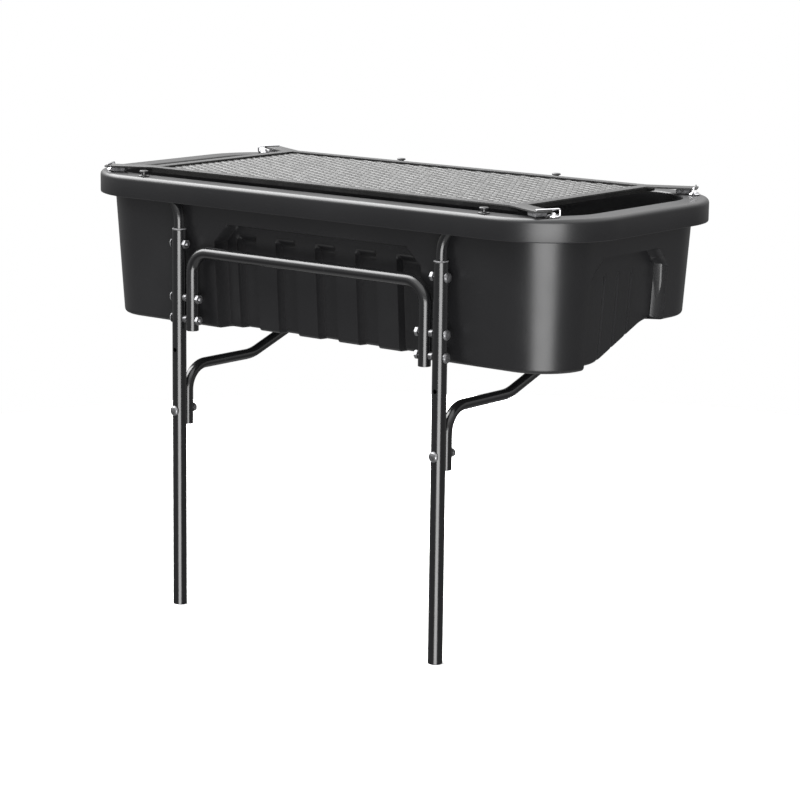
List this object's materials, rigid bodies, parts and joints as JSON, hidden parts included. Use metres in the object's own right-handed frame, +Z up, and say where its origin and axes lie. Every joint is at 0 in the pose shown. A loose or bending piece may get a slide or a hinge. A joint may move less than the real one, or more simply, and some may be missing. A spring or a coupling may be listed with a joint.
{
  "type": "long outdoor tub grill",
  "caption": "Long moulded tub with a wide rim, a raised expanded-metal grate held by swivelling wire clips, two tube legs with a cross bar and rear braces, and a stepped underside.",
  "frame": {"origin": "on the flat shelf under the far side of the tub, midway along it, 86 mm in from the rim's far face", "axes": "+X along the tub, +Y from the legs' side to the far side, +Z up"},
  "size_m": [1.121, 0.5356, 0.7972],
  "materials": {
    "tub_plastic": "satin moulded black",
    "grate_steel": "worn grey-black",
    "grey_block": "grey",
    "chrome": "bright",
    "collar_plastic": "grey satin",
    "black_bolt": "gloss black",
    "dark_zinc": "dark zinc",
    "black_tube": "gloss black powder coat"
  },
  "bodies": {
    "root": {"arm_foot_far_left": "grey_block", "arm_foot_far_right": "grey_block", "arm_foot_near_left": "grey_block", "arm_foot_near_right": "grey_block", "bar_bolt_left_lower": "dark_zinc", "bar_bolt_left_upper": "dark_zinc", "bar_bolt_right_lower": "dark_zinc", "bar_bolt_right_upper": "dark_zinc", "bar_nut_left_lower": "dark_zinc", "bar_nut_left_upper": "dark_zinc", "bar_nut_right_lower": "dark_zinc", "bar_nut_right_upper": "dark_zinc", "bar_spacer_left_lower": "dark_zinc", "bar_spacer_left_upper": "dark_zinc", "bar_spacer_right_lower": "dark_zinc", "bar_spacer_right_upper": "dark_zinc", "brace_bolt_left": "dark_zinc", "brace_bolt_right": "dark_zinc", "brace_bracket_left": "black_tube", "brace_bracket_right": "black_tube", "brace_left": "black_tube", "brace_nut_left": "dark_zinc", "brace_nut_right": "dark_zinc", "brace_right": "black_tube", "bracket_pin_left": "dark_zinc", "bracket_pin_right": "dark_zinc", "bracket_rivet_left_inner": "dark_zinc", "bracket_rivet_left_outer": "dark_zinc", "bracket_rivet_right_inner": "dark_zinc", "bracket_rivet_right_outer": "dark_zinc", "clamp_bolt_left": "dark_zinc", "clamp_bolt_right": "dark_zinc", "clamp_nut_left": "dark_zinc", "clamp_nut_right": "dark_zinc", "clip_screw_far_left": "chrome", "clip_screw_far_right": "chrome", "clip_screw_near_left": "chrome", "clip_screw_near_right": "chrome", "cross_bar": "black_tube", "grate_frame": "grate_steel", "grate_mesh": "grate_steel", "hanger_tube_left": "black_tube", "hanger_tube_right": "black_tube", "leg_collar_left": "collar_plastic", "leg_collar_right": "collar_plastic", "leg_left": "black_tube", "leg_right": "black_tube", "rim_bolt_far_left": "black_bolt", "rim_bolt_far_right": "black_bolt", "rim_bolt_near_left": "black_bolt", "rim_bolt_near_right": "black_bolt", "rim_nut_far_left": "dark_zinc", "rim_nut_far_right": "dark_zinc", "rim_nut_near_left": "dark_zinc", "rim_nut_near_right": "dark_zinc", "tub": "tub_plastic"},
    "clip_far_left": {"clip_far_left": "chrome"},
    "clip_far_right": {"clip_far_right": "chrome"},
    "clip_near_left": {"clip_near_left": "chrome"},
    "clip_near_right": {"clip_near_right": "chrome"}
  },
  "joints": [
    {"name": "swivel_far_left", "type": "hinge", "parent": "root", "child": "clip_far_left", "pos_m": [-0.49669, 0.03096, 0.2068], "axis": [0, 0, 1], "range_deg": [0, 90]},
    {"name": "swivel_far_right", "type": "hinge", "parent": "root", "child": "clip_far_right", "pos_m": [0.49669, 0.03096, 0.2068], "axis": [0, 0, -1], "range_deg": [0, 90]},
    {"name": "swivel_near_left", "type": "hinge", "parent": "root", "child": "clip_near_left", "pos_m": [-0.49669, -0.39456, 0.2068], "axis": [0, 0, -1], "range_deg": [0, 90]},
    {"name": "swivel_near_right", "type": "hinge", "parent": "root", "child": "clip_near_right", "pos_m": [0.49669, -0.39456, 0.2068], "axis": [0, 0, 1], "range_deg": [0, 90]}
  ]
}
